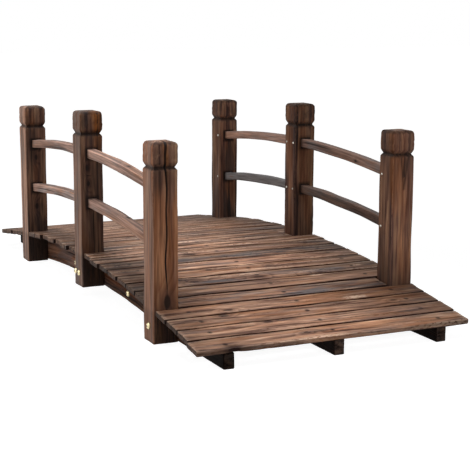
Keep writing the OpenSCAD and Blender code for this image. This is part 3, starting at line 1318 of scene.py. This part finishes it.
    def build(self, sides: Finish, ends: Finish, bleached: Finish) -> None:
        """Builds and hands over the posts.

        Args:
            sides: Finish of most faces.
            ends: Finish of the sawn ends.
            bleached: Finish of the left side's outer faces.
        """
        for index, (node, look) in enumerate(self.looks.items()):
            rng = np.random.default_rng(Seed.POST_LOOK + index)
            low, high = box_of(node)
            size = high - low
            outer = "left" in node
            post = Timber(
                length=size.z, width=size.x, depth=size.y, arris=self.arris, seed=Seed.POST + index,
                shade=look.shade,
                pith=(rng.uniform(-60, 60) * MM, rng.choice((-1, 1)) * rng.uniform(10, 70) * MM),
                step=5 * MM, column=3.4 * MM, coarse=0.4 * MM, waists=self._waists(size.z),
                rough_end=(34 * MM, 0.45 * MM), dome=self.dome, side_shades={Side.MINUS_W: look.left},
                side_slots={Side.MINUS_W: Slot.OTHER} if outer else {})
            for turn in rng.uniform(0, math.tau, self.cap_dents):
                reach = size.x / 2 / max(abs(math.cos(turn)), abs(math.sin(turn)))
                spot = (size.z / 2 - rng.uniform(2, 9) * MM, reach * math.cos(turn), reach * math.sin(turn))
                post.dents.append(Dent(spot, rng.uniform(4, 9) * MM, rng.uniform(0.8, 2.2) * MM))
            back, front = (Side.MINUS_V, low.x), (Side.PLUS_V, high.x)
            faces = {"near": (back,), "middle": (back, front), "far": (front,)}[node.split("_")[1]]
            base = self.arch.plank_size.z - (low.z + high.z) / 2
            mortises = [(side, float(self.arch.underside(np.array(x))) + base + over)
                        for side, x in faces for over in self.rail_heights]
            level = float(self.arch.underside(np.array(high.x))) + base
            shaded_over_deck = (Side.PLUS_V,) if outer else (Side.PLUS_V, Side.MINUS_W)
            post.wear = partial(self._wear, size, level, mortises, look, shaded_over_deck)
            post.flame = partial(self._flame, size.z / 2 - self.groove_drop, look)
            post.knots = [Knot((over * MM - size.z / 2, size.x / 2, across * MM), radius * MM)
                          for over, across, radius in look.knots]
            post.knots += [knot for knot in random_knots(rng, post, 4, 7 * MM)
                           if knot.at[1] < size.x / 2 and knot.at[2] > -size.y / 2]
            if node == self.cracked:
                post.checks = [DryingCheck(across=1.5 * MM, start=-size.z / 2 + self.crack_foot, end=size.z,
                                           width=5.6 * MM, depth=18 * MM)]
            place = straight((low + high) / 2, (0, 0, 1), (1, 0, 0))
            deliver(node, "post_fir", [post.build(place)], (sides, ends, bleached))


@dataclass
class Rails:
    """Eight bowed rails, one for each bay and level of a side, with the tones of their sides and tops."""

    arch: Arch
    height: float = 22 * MM
    arris: float = 2.2 * MM
    soot: float = 0.6
    # Sides and tops take tones of their own; the difference between them is partly painted light and shade.
    looks: dict[str, tuple[Shade, float, float]] = field(default_factory=lambda: {
        "left_far_upper_rail": (Shade.SMOKY, 1.6, 0.76), "left_far_lower_rail": (Shade.SMOKY, 2.5, 1.1),
        "left_near_upper_rail": (Shade.ROSY, 1.95, 0.92), "left_near_lower_rail": (Shade.ROSY, 1.9, 0.9),
        "right_far_upper_rail": (Shade.ROSY, 1.8, 1.1), "right_far_lower_rail": (Shade.SLATE, 1.08, 0.7),
        "right_near_upper_rail": (Shade.SMOKY, 1.05, 1.15),
        "right_near_lower_rail": (Shade.SMOKY, 0.38, 0.6)})

    def radius(self, node: str) -> float:
        """Gives the radius of a rail's middle line, from the corner of its box that is nearest the crown."""
        low, high = box_of(node)
        return math.hypot(high.z - self.arch.centre, min(abs(low.x), abs(high.x))) - self.height / 2

    def build(self, sides: Finish, ends: Finish) -> None:
        """Builds and hands over the rails.

        Args:
            sides: Finish of the faces.
            ends: Finish of the sawn ends.
        """
        bow = self._bow()
        for index, (node, (shade, side_tone, top_tone)) in enumerate(self.looks.items()):
            rng = np.random.default_rng(Seed.RAIL_LOOK + index)
            low, high = box_of(node)
            radius = self.radius(node)
            start, end = (math.asin(x / radius) * radius for x in (low.x, high.x))
            scorch, warmth = shade.value[1:]
            rail = Timber(
                length=end - start, width=high.y - low.y, depth=self.height, arris=self.arris,
                seed=Seed.RAIL + index, shade=(side_tone, scorch, warmth),
                pith=(rng.uniform(-20, 20) * MM, -rng.uniform(20, 60) * MM), step=12 * MM, column=4 * MM,
                side_shades={Side.PLUS_W: (top_tone, scorch, warmth)})
            rail.knots = random_knots(rng, rail, 1, 4 * MM)
            rail.wear = partial(self._wear, rail.length / 2)
            level = straight((0, 0, 0), (1, 0, 0), (0, 1, 0))
            mesh = make_mesh(f"{node}_straight", [rail.build(level)], ())
            piece = bow.run(f"fir_{node}", mesh, {
                "Radius": radius, "Along": (start + end) / 2, "Across": (low.y + high.y) / 2,
                "Centre": self.arch.centre, "Sides": sides, "Ends": ends})
            hand_over(piece, "rail_fir", node)

    def _wear(self, half: float, points: Array, sides: Array) -> Array:
        """Gives the darkening at points of a rail, as negative shares, where half its length enters the
        posts.
        """
        return -self.soot * rise(np.abs(points[:, 0]), half - 36 * MM, 12 * MM)

    def _bow(self) -> NodeShape:
        """Builds the geometry tree that bends a straight rail along the arch.

        Returns:
            The tree. It takes the rail's radius, the arc length of its middle, its place across and
            the height of the arc's centre.
        """
        sizes = {label: "Float" for label in ("Radius", "Along", "Across", "Centre")}
        bow = NodeShape("rail_bow", {"Rail": "Geometry", **sizes, "Sides": "Material", "Ends": "Material"})
        tree, given = bow.tree, bow.given
        place = add_node(tree, "GeometryNodeInputPosition")
        u, v, w = add_node(tree, SPLIT, (place,)).node.outputs
        along = add_node(tree, MATH, (u, given["Along"]), operation="ADD")
        angle = add_node(tree, MATH, (along, given["Radius"]), operation="DIVIDE")
        sine = add_node(tree, MATH, (angle,), operation="SINE")
        cosine = add_node(tree, MATH, (angle,), operation="COSINE")
        reach = add_node(tree, MATH, (given["Radius"], w), operation="ADD")
        x = add_node(tree, MATH, (reach, sine), operation="MULTIPLY")
        y = add_node(tree, MATH, (v, given["Across"]), operation="ADD")
        z = add_node(tree, MATH, (reach, cosine, given["Centre"]), operation="MULTIPLY_ADD")
        bent = add_node(tree, JOIN, (x, y, z))
        moved = add_node(tree, "GeometryNodeSetPosition", {"Geometry": given["Rail"], "Position": bent})
        sawn = add_node(tree, "GeometryNodeInputNamedAttribute", {"Name": "sawn"}, "Attribute",
                        data_type="BOOLEAN")
        bow.close(moved, {"Sides": True, "Ends": sawn})
        return bow


@dataclass
class Stringers:
    """Three bowed beams, each of two halves that butt under the crown, and their splice boards.

    The left beam's far half gets painted light towards the crown and less painted shade along its top.
    """

    arch: Arch
    arris: float = 3.0 * MM
    joint: float = 0.5 * MM
    nominal: float = 70 * MM
    tones: dict[str, float] = field(default_factory=lambda: {"left": 0.62, "middle": 1.55, "right": 1.1})
    scorch: float = 0.5
    warmth: float = 0.45
    # Painted light on one half towards the crown and along the bottom; painted shade along the top and under
    # the ramps.
    lit_half: tuple[str, int] = ("left", -1)
    lit_gain: float = 3.5
    upper_soot: tuple[float, float] = (0.75, 0.3)
    lower_bare: float = 0.3
    splice_shade: Tones = (1.1, 0.4, 0.4)

    def _place(self, middle: float, y: float, points: Array) -> Array:
        """Bends half a stringer between the deck's underside and the soffit.

        Args:
            middle: Place of its middle along the bridge.
            y: Place of the stringer across the bridge.
            points: Points of the timber's frame.

        Returns:
            The points in place.
        """
        x = middle + points[:, 0]
        top, bottom = self.arch.underside(x), self.arch.under_stringers(x)
        share = points[:, 2] / self.nominal + 0.5
        return np.stack((x, y + points[:, 1], bottom + share * (top - bottom)), axis=1)

    def build(self, sides: Finish, ends: Finish) -> None:
        """Builds and hands over the stringers and splice boards.

        Args:
            sides: Finish of the faces.
            ends: Finish of the sawn ends.
        """
        for index, (line, tone) in enumerate(self.tones.items()):
            node = f"{line}_stringer"
            low, high = box_of(node)
            start, end = self.joint / 2, high.x
            length = end - start
            parts = []
            for side in (-1, 1):
                rng = np.random.default_rng(Seed.BEAM_LOOK + 10 * index + side)
                place = partial(self._place, side * (start + length / 2), (low.y + high.y) / 2)
                beam = Timber(
                    length=length, width=high.y - low.y, depth=self.nominal, arris=self.arris,
                    seed=Seed.BEAM + 10 * index + side, shade=(tone, self.scorch, self.warmth),
                    pith=(-rng.uniform(30, 60) * MM, rng.uniform(-30, 30) * MM), step=15 * MM,
                    column=6 * MM, end_round=1.2 * MM, fine=0.1 * MM, coarse=0.15 * MM)
                beam.knots = random_knots(rng, beam, 2, 6 * MM)
                lit = (line, side) == self.lit_half
                beam.wear = partial(self._wear, side, self.upper_soot[lit])
                beam.flame = partial(self._flame, length, self.lit_gain if lit else 0.0)
                parts.append(beam.build(place))
            deliver(node, "stringer_fir", parts, (sides, ends))
            self._splice(f"{line}_splice_board", index, sides, ends)

    def _flame(self, length: float, gain: float, points: Array, sides: Array, board: Array) -> None:
        """Paints light on half a stringer: lighter towards +X, by the gain at its end."""
        board[:, 0] *= 1 + gain * rise(points[:, 0], -length / 2, length) ** 2

    def _wear(self, side: int, upper: float, points: Array, sides: Array) -> Array:
        """Paints light and shade on half a stringer: shade under the planks and the ramp, light along the
        bottom.

        Args:
            side: -1 for the far half and 1 for the near half.
            upper: Painted shade along the top.
            points: Points of the timber's frame.
            sides: Sides that the points are on; not used.

        Returns:
            Painted light as positive and painted shade as negative shares.
        """
        high = points[:, 2] / self.nominal + 0.5
        # Painted shade under the planks and the ramps, painted light along the bottom.
        ramp = rise(side * points[:, 0], 150 * MM, 60 * MM)
        soot = np.maximum(upper * rise(high, 0.3, 0.5), ramp)
        return self.lower_bare * rise(high, 0.15, -0.15) * (1 - ramp) - soot

    def _splice(self, node: str, index: int, sides: Finish, ends: Finish) -> None:
        """Builds and hands over one splice board.

        Args:
            node: Solid that the board stands for.
            index: Number of its stringer.
            sides: Finish of the faces.
            ends: Finish of the sawn ends.
        """
        low, high = box_of(node)
        size = high - low
        board = Timber(length=size.x, width=size.y, depth=size.z, arris=1.5 * MM, seed=Seed.SPLICE + index,
                       shade=self.splice_shade, pith=(-45 * MM, 12 * MM), fine=0.05 * MM, coarse=0.05 * MM)
        place = straight((low + high) / 2, (1, 0, 0), (0, 1, 0))
        deliver(node, "stringer_fir", [board.build(place)], (sides, ends))


class Drive(Enum):
    """Recess in a fastener's head, as the reach of a hexagon or the sides of a cross, in head radii."""

    HEX = (0.4,)
    CROSS = (1.1, 0.24)
    PLAIN = ()


@dataclass
class Fasteners:
    """One kind of fastener, set on points by a geometry tree."""

    name: str
    slot: str
    head_radius: float
    head_height: float
    drive: Drive
    points: Spots = field(default_factory=list)

    TURN_SEED = 7
    SEGMENTS = 20
    RINGS = 12
    RECESS_MIDDLE = 1.05

    def _head(self, tree: Any, radius: Any, height: Any) -> Any:
        """Adds a low dome with a flat underside.

        Args:
            tree: Geometry tree.
            radius: Socket with the head's radius.
            height: Socket with the head's height.

        Returns:
            Socket with the head's geometry.
        """
        sizes = {"Segments": self.SEGMENTS, "Rings": self.RINGS, "Radius": radius}
        ball = add_node(tree, "GeometryNodeMeshUVSphere", sizes, "Mesh")
        place = add_node(tree, "GeometryNodeInputPosition")
        x, y, z = add_node(tree, SPLIT, (place,)).node.outputs
        upper = add_node(tree, MATH, (z, 0.0), operation="MAXIMUM")
        share = add_node(tree, MATH, (height, radius), operation="DIVIDE")
        flat = add_node(tree, MATH, (upper, share), operation="MULTIPLY")
        moved = add_node(tree, JOIN, (x, y, flat))
        dome = add_node(tree, "GeometryNodeSetPosition", {"Geometry": ball, "Position": moved})
        if self.drive is Drive.PLAIN:
            return dome
        cut = add_node(tree, "GeometryNodeMeshBoolean", {"Mesh 1": dome}, "Mesh", operation="DIFFERENCE")
        for cutter in self._cutters(tree, radius, height):
            tree.links.new(cutter, cut.node.inputs["Mesh 2"])
        return cut

    def _cutters(self, tree: Any, radius: Any, height: Any) -> list[Any]:
        """Adds the shapes that cut the drive's recess.

        Args:
            tree: Geometry tree.
            radius: Socket with the head's radius.
            height: Socket with the head's height.

        Returns:
            Sockets with the cutters' geometry.
        """
        sides = [add_node(tree, MATH, (radius, share), operation="MULTIPLY") for share in self.drive.value]
        if self.drive is Drive.HEX:
            sizes = {"Vertices": 6, "Radius": sides[0], "Depth": height}
            shapes = [add_node(tree, "GeometryNodeMeshCylinder", sizes, "Mesh")]
        else:
            bars = [add_node(tree, JOIN, (*pair, height)) for pair in (sides, sides[::-1])]
            shapes = [add_node(tree, "GeometryNodeMeshCube", {"Size": bar}, "Mesh") for bar in bars]
        middle = add_node(tree, MATH, (height, self.RECESS_MIDDLE), operation="MULTIPLY")
        lift = add_node(tree, JOIN, {2: middle})
        return [add_node(tree, "GeometryNodeTransform", {"Geometry": shape, "Translation": lift})
                for shape in shapes]

    def _shape(self) -> NodeShape:
        """Builds the geometry tree that sets a fastener on every point.

        Returns:
            The tree, with inputs for the head's sizes and finish.
        """
        shape = NodeShape(self.name, {"Points": "Geometry", "Head radius": "Float", "Head height": "Float",
                                      "Finish": "Material"})
        tree, given = shape.tree, shape.given
        head = self._head(tree, given["Head radius"], given["Head height"])
        facing = add_node(tree, "GeometryNodeInputNamedAttribute", {"Name": "facing"}, "Attribute",
                          data_type="FLOAT_VECTOR")
        aim = add_node(tree, "FunctionNodeAlignRotationToVector", {"Vector": facing}, axis="Z")
        turn = add_node(tree, "FunctionNodeRandomValue", {"Max": math.tau, "Seed": self.TURN_SEED}, 1,
                        data_type="FLOAT")
        spin = add_node(tree, "FunctionNodeAxisAngleToRotation", {"Angle": turn})
        both = add_node(tree, "FunctionNodeRotateRotation", {"Rotation": aim, "Rotate By": spin},
                        rotation_space="LOCAL")
        copies = add_node(tree, "GeometryNodeInstanceOnPoints",
                          {"Points": given["Points"], "Instance": head, "Rotation": both})
        shape.close(copies, {"Finish": True})
        return shape

    def build(self, finish: Finish) -> None:
        """Sets the fasteners on their points and hands them over as one mesh.

        Args:
            finish: Finish of the heads.
        """
        cloud = bpy.data.meshes.new(f"{self.name}_points")
        cloud.from_pydata([p for p, _ in self.points], [], [])
        layer = cloud.attributes.new("facing", "FLOAT_VECTOR", "POINT")
        layer.data.foreach_set("vector", [c for _, n in self.points for c in n])
        values = {"Head radius": self.head_radius, "Head height": self.head_height, "Finish": finish}
        hand_over(self._shape().run(self.name, cloud, values), self.slot)


@dataclass
class Hardware:
    """Bolts through posts and stringers, screws into the rails and nails in the planks."""

    arch: Arch
    rails: Rails
    end_bolt_z: float = 36 * MM
    middle_bolt_z: float = 60 * MM
    middle_bolt_x: tuple[float, float] = (-21 * MM, 5 * MM)
    beam_bolt_x: float = 200 * MM
    beam_bolt_z: float = 42 * MM
    screw_x: float = 18 * MM
    washer: float = 1.4 * MM
    washer_share: float = 0.8
    socket_rise: float = 2.9 * MM

    SIDES = (("left", -1), ("right", 1))
    BAYS = (("far", -1), ("near", 1))

    def _bolts(self) -> Spots:
        """Lists the bolts on both outer sides. The far posts have none.

        Returns:
            Places and directions.
        """
        points = []
        for line, side in self.SIDES:
            out = Vector((0, side, 0))
            face = max(abs(c[1]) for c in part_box(f"{line}_middle_post")) * side
            beam = max(abs(c[1]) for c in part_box(f"{line}_stringer")) * side
            end = sum(c[0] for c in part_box(f"{line}_near_post")) / 2
            points.append((Vector((end, face, self.end_bolt_z)), out))
            for sign, x in zip((-1, 1), self.middle_bolt_x):
                points.append((Vector((x, face, self.middle_bolt_z)), out))
                points.append((Vector((sign * self.beam_bolt_x, beam, self.beam_bolt_z)), out))
        return points

    def _screws(self) -> Spots:
        """Lists the screws on the posts' inner faces, one into each rail's end.

        Returns:
            Places and directions.
        """
        points = []
        for line, side in self.SIDES:
            face = min(abs(c[1]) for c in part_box(f"{line}_middle_post")) * side
            for bay, sign in self.BAYS:
                end = abs(sum(c[0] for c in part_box(f"{line}_{bay}_post")) / 2)
                for level in ("upper", "lower"):
                    radius = self.rails.radius(f"{line}_{bay}_{level}_rail")
                    for x in (self.screw_x, end - self.screw_x):
                        z = self.arch.centre + math.sqrt(radius ** 2 - x ** 2)
                        points.append((Vector((sign * x, face, z)), Vector((0, -side, 0))))
        return points

    def build(self, nails: Spots) -> None:
        """Builds and hands over all fasteners.

        Args:
            nails: Places and directions of the nails in the planks.
        """
        # Zinc with a yellow passivation: pale gold heads that catch the light.
        yellow = PlatedMetal("yellow zinc plating", "#d9c9a0", 0.3).material()
        # Zinc washers in a dark colour: painted shade round the bright head, which sets it off from the
        # wood.
        dull = PlatedMetal("dull zinc washer", "#6e6448", 0.5).material()
        # Clear zinc on steel: small silvery spots on the posts.
        steel = PlatedMetal("bright zinc steel", "#c9c4ba", 0.30).material()
        # Iron blackened by the flame: dark dots with hardly any gloss.
        iron = PlatedMetal("black iron", "#2b2320", 0.55).material()
        bolts = self._bolts()
        heads = [(place + out * self.washer * self.washer_share, out) for place, out in bolts]
        beds = [(place + out * self.socket_rise, out) for place, out in heads]
        Fasteners("yellow_bolts", "bolt_plating", 7 * MM, 3.8 * MM, Drive.HEX, heads).build(yellow)
        # Dark discs in the hex sockets: painted shade in the recesses.
        Fasteners("bolt_sockets", "bolt_plating", 2.7 * MM, 0.4 * MM, Drive.PLAIN, beds).build(iron)
        Fasteners("bolt_washers", "bolt_plating", 9 * MM, self.washer, Drive.PLAIN, bolts).build(dull)
        Fasteners("rail_screws", "screw_steel", 3.4 * MM, 1.5 * MM, Drive.CROSS, self._screws()).build(steel)
        Fasteners("plank_nails", "screw_steel", 1.9 * MM, 0.5 * MM, Drive.PLAIN, nails).build(iron)


@dataclass(frozen=True)
class Lamp:
    """A rectangular soft box: its place, aim, sides, power and beam."""

    name: str
    at: tuple[float, float, float]
    aim: tuple[float, float, float]
    size: tuple[float, float]
    watts: float
    spread: float = 180.0


@dataclass
class Studio:
    """White paper floor, soft lamps and the camera."""

    eye: tuple[float, float, float] = (3.0049, -1.3083, 0.7441)
    heading: float = 64.76
    pitch: float = 10.59
    roll: float = 0.25
    lens: float = 96.78
    sensor: float = 36
    clip_end: float = 100
    fill: float = 0.08
    floor_reach: float = 14.0
    paper: str = "#a0a0a0"
    shadow_reach: tuple[float, float] = (0.7, 1.3)
    shadow_white: float = 0.94
    lamps: tuple[Lamp, ...] = (
        Lamp("top", (0.2, -0.36, 1.5), (0.2, -0.16, 0.1), (2.2, 0.5), 7.1, 58),
        Lamp("side", (0.0, -1.4, 0.5), (0.0, -0.3, 0.2), (1.8, 0.8), 4.8),
        Lamp("front", (2.0, 0.5, 0.7), (0.4, 0.0, 0.25), (0.8, 0.8), 4.0))

    WHITE = (1, 1, 1, 1)

    def camera(self) -> None:
        """Puts the camera where the bridge was photographed from."""
        data = bpy.data.cameras.new("camera")
        data.lens = self.lens
        data.sensor_width = self.sensor
        data.clip_end = self.clip_end
        camera = link("camera", data)
        turn = Matrix.Rotation(math.radians(self.heading), 4, "Z")
        turn = turn @ Matrix.Rotation(math.radians(90 - self.pitch), 4, "X")
        turn = turn @ Matrix.Rotation(math.radians(self.roll), 4, "Z")
        camera.matrix_world = Matrix.Translation(self.eye) @ turn
        bpy.context.scene.camera = camera

    def lamp(self, lamp: Lamp) -> None:
        """Hangs one soft box.

        Args:
            lamp: Place, aim, size and power of the soft box.
        """
        data = bpy.data.lights.new(lamp.name, "AREA")
        data.shape = "RECTANGLE"
        data.size, data.size_y = lamp.size
        data.energy = lamp.watts
        data.spread = math.radians(lamp.spread)
        holder = link(lamp.name, data)
        holder.location = lamp.at
        holder.rotation_euler = (Vector(lamp.aim) - Vector(lamp.at)).to_track_quat("-Z", "Y").to_euler()

    def _seen(self, tree: Any) -> Any:
        """Adds the test for a ray that shows the background, straight to the eye or off metal or glass.

        Args:
            tree: Node tree of the world or of the floor's finish.

        Returns:
            Socket that is 1 for such a ray and 0 for others.
        """
        rays = add_node(tree, "ShaderNodeLightPath").node.outputs
        seen = rays["Is Camera Ray"]
        for label in ("Is Glossy Ray", "Is Transmission Ray"):
            seen = add_node(tree, MATH, (seen, rays[label]), operation="MAXIMUM")
        return seen

    def world(self) -> None:
        """Fills the studio with even light, and shows white behind the bridge."""
        world = bpy.data.worlds.new("studio")
        world.use_nodes = True
        bpy.context.scene.world = world
        tree = world.node_tree
        back = tree.nodes["Background"]
        level = add_node(tree, RANGE, {0: self._seen(tree), 3: self.fill, 4: 1.0})
        back.inputs["Color"].default_value = self.WHITE
        tree.links.new(level, back.inputs["Strength"])

    def floor(self) -> None:
        """Lays the floor: grey paper to the lamps, and white to the eye except in the bridge's shadow."""
        # Uncoated paper: flat white without a highlight, and a soft grey where the bridge shades it.
        material, tree, shader = new_material("white paper")
        settings = {"Base Color": linear(self.paper), "Roughness": 0.95, "Specular IOR Level": 0.0,
                    "Emission Color": self.WHITE}
        for label, value in settings.items():
            shader.inputs[label].default_value = value
        place = add_node(tree, "ShaderNodeTexCoord", out="Object")
        away = add_node(tree, VECTOR, (place,), "Value", operation="LENGTH")
        level = add_node(tree, RANGE, (away, *self.shadow_reach, self.shadow_white, 1.0))
        glow = add_node(tree, MATH, (self._seen(tree), level), operation="MULTIPLY")
        tree.links.new(glow, shader.inputs["Emission Strength"])
        mesh = bpy.data.meshes.new("floor")
        reach = self.floor_reach
        corners = [(x * reach, y * reach, 0) for x, y in ((-1, -1), (1, -1), (1, 1), (-1, 1))]
        mesh.from_pydata(corners, [], [(0, 1, 2, 3)])
        mesh.materials.append(material)
        link("floor", mesh)

    def build(self) -> None:
        """Sets up the whole studio."""
        bpy.context.scene.view_settings.view_transform = "Standard"
        self.camera()
        self.world()
        for lamp in self.lamps:
            self.lamp(lamp)
        self.floor()


def main() -> None:
    """Sets up the studio and builds the bridge's pieces in order."""
    logging.basicConfig(level=logging.INFO, format="%(message)s")
    arch = Arch()
    Studio().build()
    # Planks brushed hard and walked on: short dark lines and grey patches on dull rosy brown.
    deck_fir = ScorchedFir("scorched fir, deck", DECK_COLOURS, ring_share=0.24, band_mm=20.0,
                           band_along_mm=180, band_share=0.38, fine_mm=7.0, fine_share=0.62,
                           patch_mm=18.0, gloss=0.08).material()
    # Squared posts, scorched deepest: broad black and orange bands up the whole height.
    post_fir = ScorchedFir("scorched fir, posts", POST_COLOURS, ring_mm=9.0, ring_share=0.18,
                           band_along_mm=280, glow_mm=38.0, gloss=0.12).material()
    # Outer faces that the weather bleached: pale, even grey-brown with faint lines.
    bleached_fir = ScorchedFir("bleached fir", BLEACHED_COLOURS, ring_share=0.12, band_share=0.45,
                               gloss=0.2).material()
    # Planed rails, handled often: even rosy brown with a slight sheen.
    rail_fir = ScorchedFir("scorched fir, rails", RAIL_COLOURS, ring_share=0.1, band_share=0.5,
                           gloss=0.2).material()
    # Beams under the deck: dark brown without gloss, partly sooty wood and partly painted shade, since
    # little light reaches them.
    beam_fir = ScorchedFir("scorched fir, stringers", BEAM_COLOURS, gloss=0.02).material()
    # Sawn ends, whose open pores took in the soot: dark rings on nearly black.
    end_fir = ScorchedFir("scorched fir, sawn ends", END_COLOURS, ring_mm=3.5, gloss=0.0,
                          end_grain=True).material()
    # Ends of planks and posts, sawn after the flame and then weathered: brown rings on dull brown.
    plank_end_fir = ScorchedFir("scorched fir, plank ends", PLANK_END_COLOURS, ring_mm=3.5, gloss=0.1,
                                end_grain=True).material()
    deck = Deck(arch)
    deck.build(deck_fir, plank_end_fir)
    Posts(arch).build(post_fir, plank_end_fir, bleached_fir)
    rails = Rails(arch)
    rails.build(rail_fir, end_fir)
    Stringers(arch).build(beam_fir, end_fir)
    Hardware(arch, rails).build(deck.nails)


if __name__ == "__main__":
    main()
